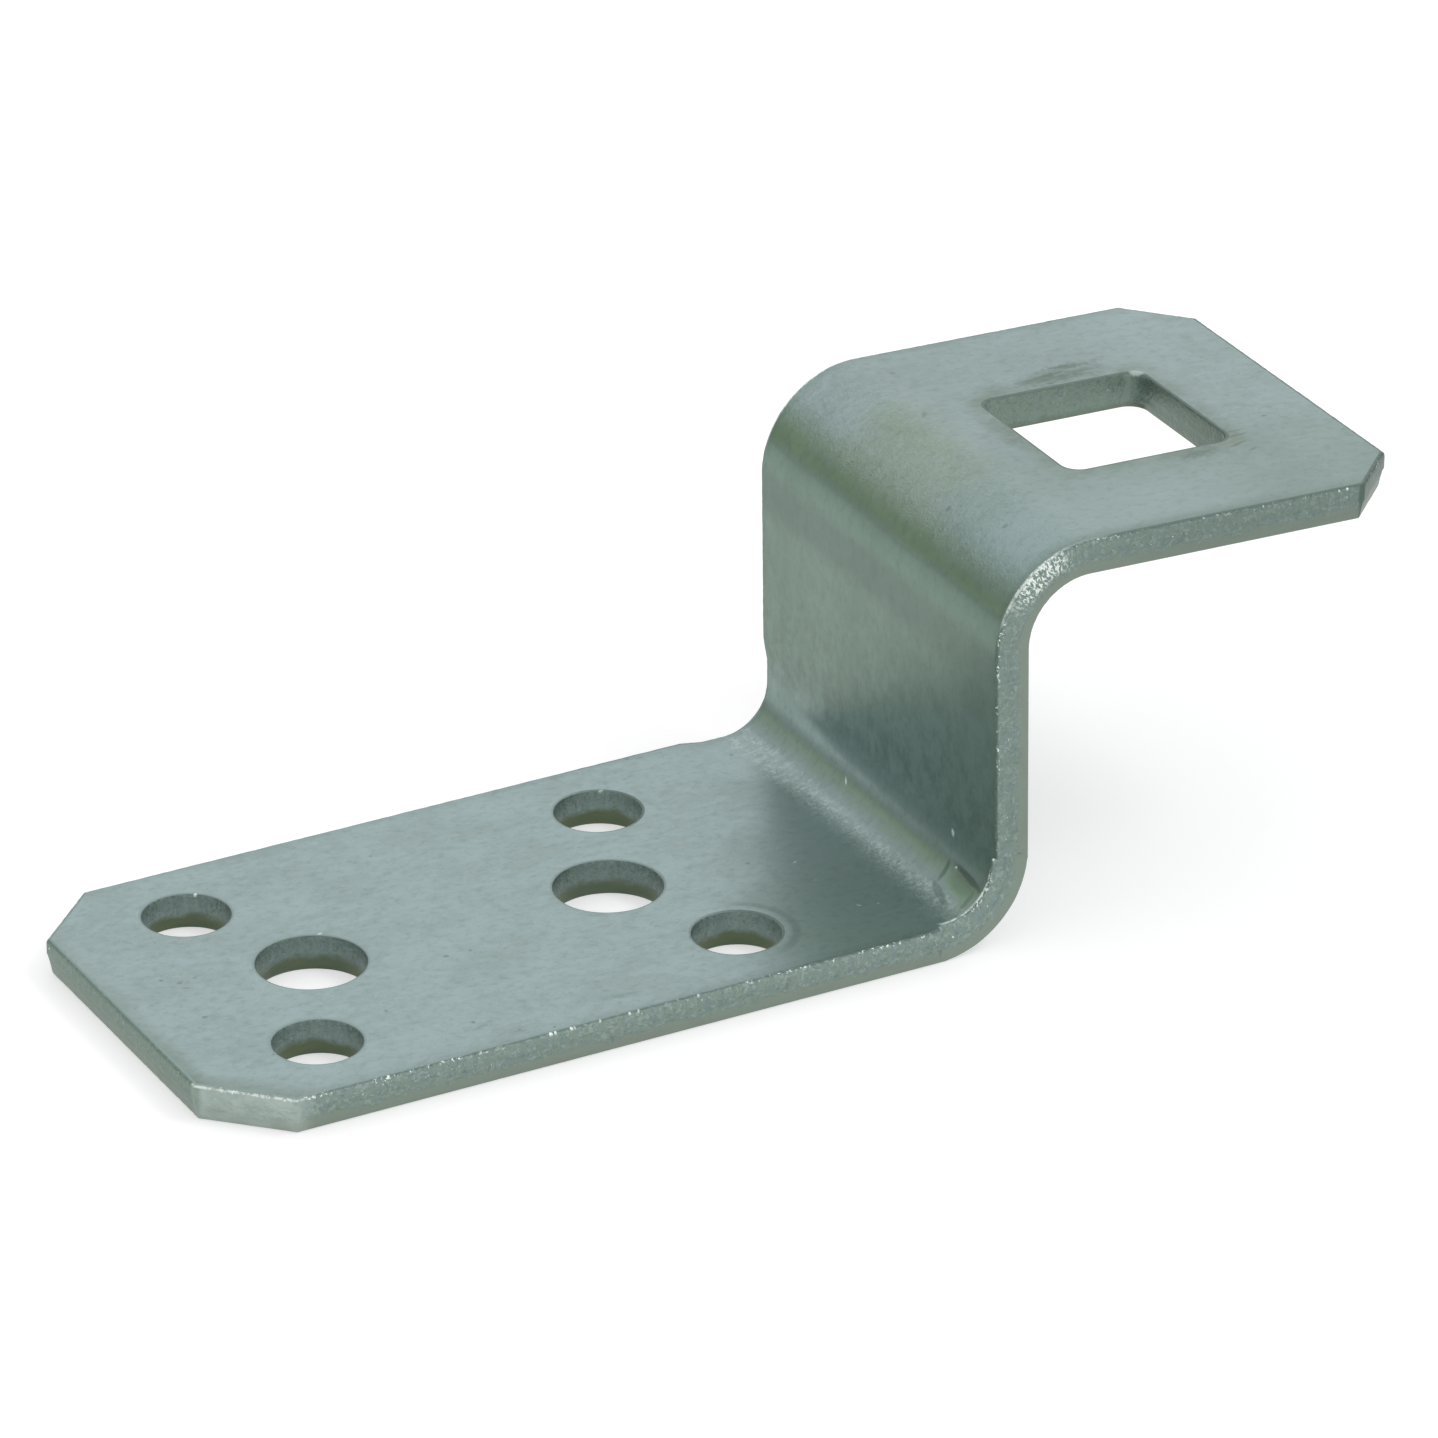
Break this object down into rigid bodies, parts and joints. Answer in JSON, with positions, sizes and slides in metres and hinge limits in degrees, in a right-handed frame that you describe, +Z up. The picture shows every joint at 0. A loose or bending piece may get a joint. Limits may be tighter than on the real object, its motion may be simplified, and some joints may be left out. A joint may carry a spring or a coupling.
{
  "type": "z bracket",
  "caption": "Z-shaped bracket folded from flat zinc-plated steel strip: a drilled base, a short upright web and a ledge with a square hole, its corners cropped.",
  "frame": {"origin": "centre of the base's screw holes, on the underside of the base", "axes": "+X along the bracket from the base's free end to the ledge's free end, +Y across the strip, +Z up, out of the base's upper face"},
  "size_m": [0.135, 0.05, 0.0437],
  "materials": {
    "zinc_plated_steel": "satin zinc plate with faint mottling, rougher on the sheared edges"
  },
  "bodies": {
    "root": {"bracket": "zinc_plated_steel"}
  },
  "joints": []
}
